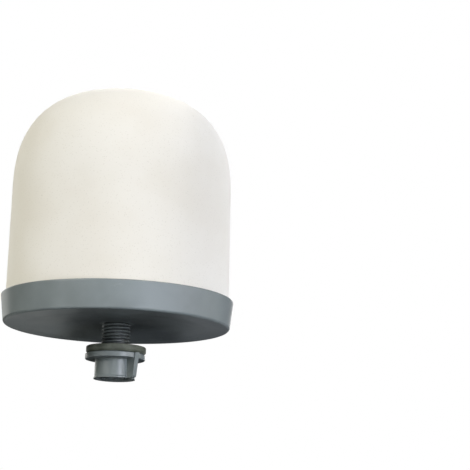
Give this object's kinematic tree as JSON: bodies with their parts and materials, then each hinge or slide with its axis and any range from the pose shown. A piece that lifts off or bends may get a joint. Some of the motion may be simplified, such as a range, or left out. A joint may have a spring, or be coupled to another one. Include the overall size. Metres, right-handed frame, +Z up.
{
  "type": "ceramic dome water filter element",
  "caption": "Domed ceramic water filter element on a round plastic base, with a threaded hollow outlet stem, sealing washer and wing nut.",
  "frame": {"origin": "on the axis of the outlet stem, in the plane of the flat land on the base's underside", "axes": "+Z up through the dome, -Z down the outlet stem; at rest the nut's wing points 43 degrees from +X towards -Y"},
  "size_m": [0.1028, 0.1028, 0.1289],
  "materials": {
    "ceramic": "unglazed porous white-cream ceramic, matte",
    "grey_plastic": "moulded grey polypropylene, satin",
    "white_plastic": "moulded natural polypropylene",
    "adhesive": "cured off-white adhesive",
    "felt": "white needled felt",
    "carbon": "black granular carbon",
    "rubber": "dark olive-grey rubber, matte"
  },
  "bodies": {
    "element": {"ceramic_dome": "ceramic", "base_pan": "grey_plastic", "adhesive_ring": "adhesive", "media_grid": "white_plastic", "felt_pad": "felt", "carbon_bed": "carbon", "outlet_stem": "grey_plastic", "outlet_screen": "white_plastic"},
    "washer": {"sealing_washer": "rubber"},
    "nut": {"wing_nut": "grey_plastic"}
  },
  "joints": [
    {"name": "nut_travel", "type": "slide", "parent": "element", "child": "washer", "axis": [0, 0, 1], "range_m": [-0.0076, 0.0101]},
    {"name": "nut_turn", "type": "hinge", "parent": "washer", "child": "nut", "pos_m": [0, 0, -0.0177], "axis": [0, 0, 1], "range_deg": [-1800, 2400]}
  ],
  "couplings": [
    {"joint": "nut_travel", "follows": "nut_turn", "m_per_rad": 0.00023873}
  ]
}
